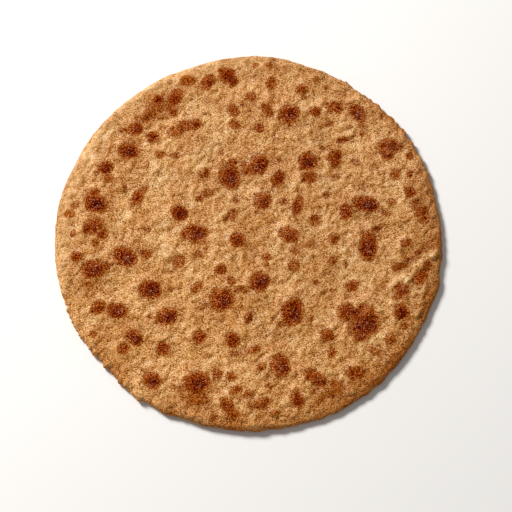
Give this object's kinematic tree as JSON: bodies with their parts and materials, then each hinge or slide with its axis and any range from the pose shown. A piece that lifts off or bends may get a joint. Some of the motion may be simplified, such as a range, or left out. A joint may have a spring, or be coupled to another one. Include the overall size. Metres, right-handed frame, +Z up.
{
  "type": "bajra roti",
  "caption": "Round hand-patted pearl millet flatbread with an uneven rounded rim, a sandy ridged top and toasted brown griddle spots.",
  "frame": {"origin": "on the resting plane, under the middle of the outline's box", "axes": "+Z up through the thickness; +Y towards the top of the picture, +X towards its right"},
  "size_m": [0.1796, 0.1812, 0.007],
  "materials": {
    "crust": null
  },
  "bodies": {
    "root": {"roti": "crust"}
  },
  "joints": []
}
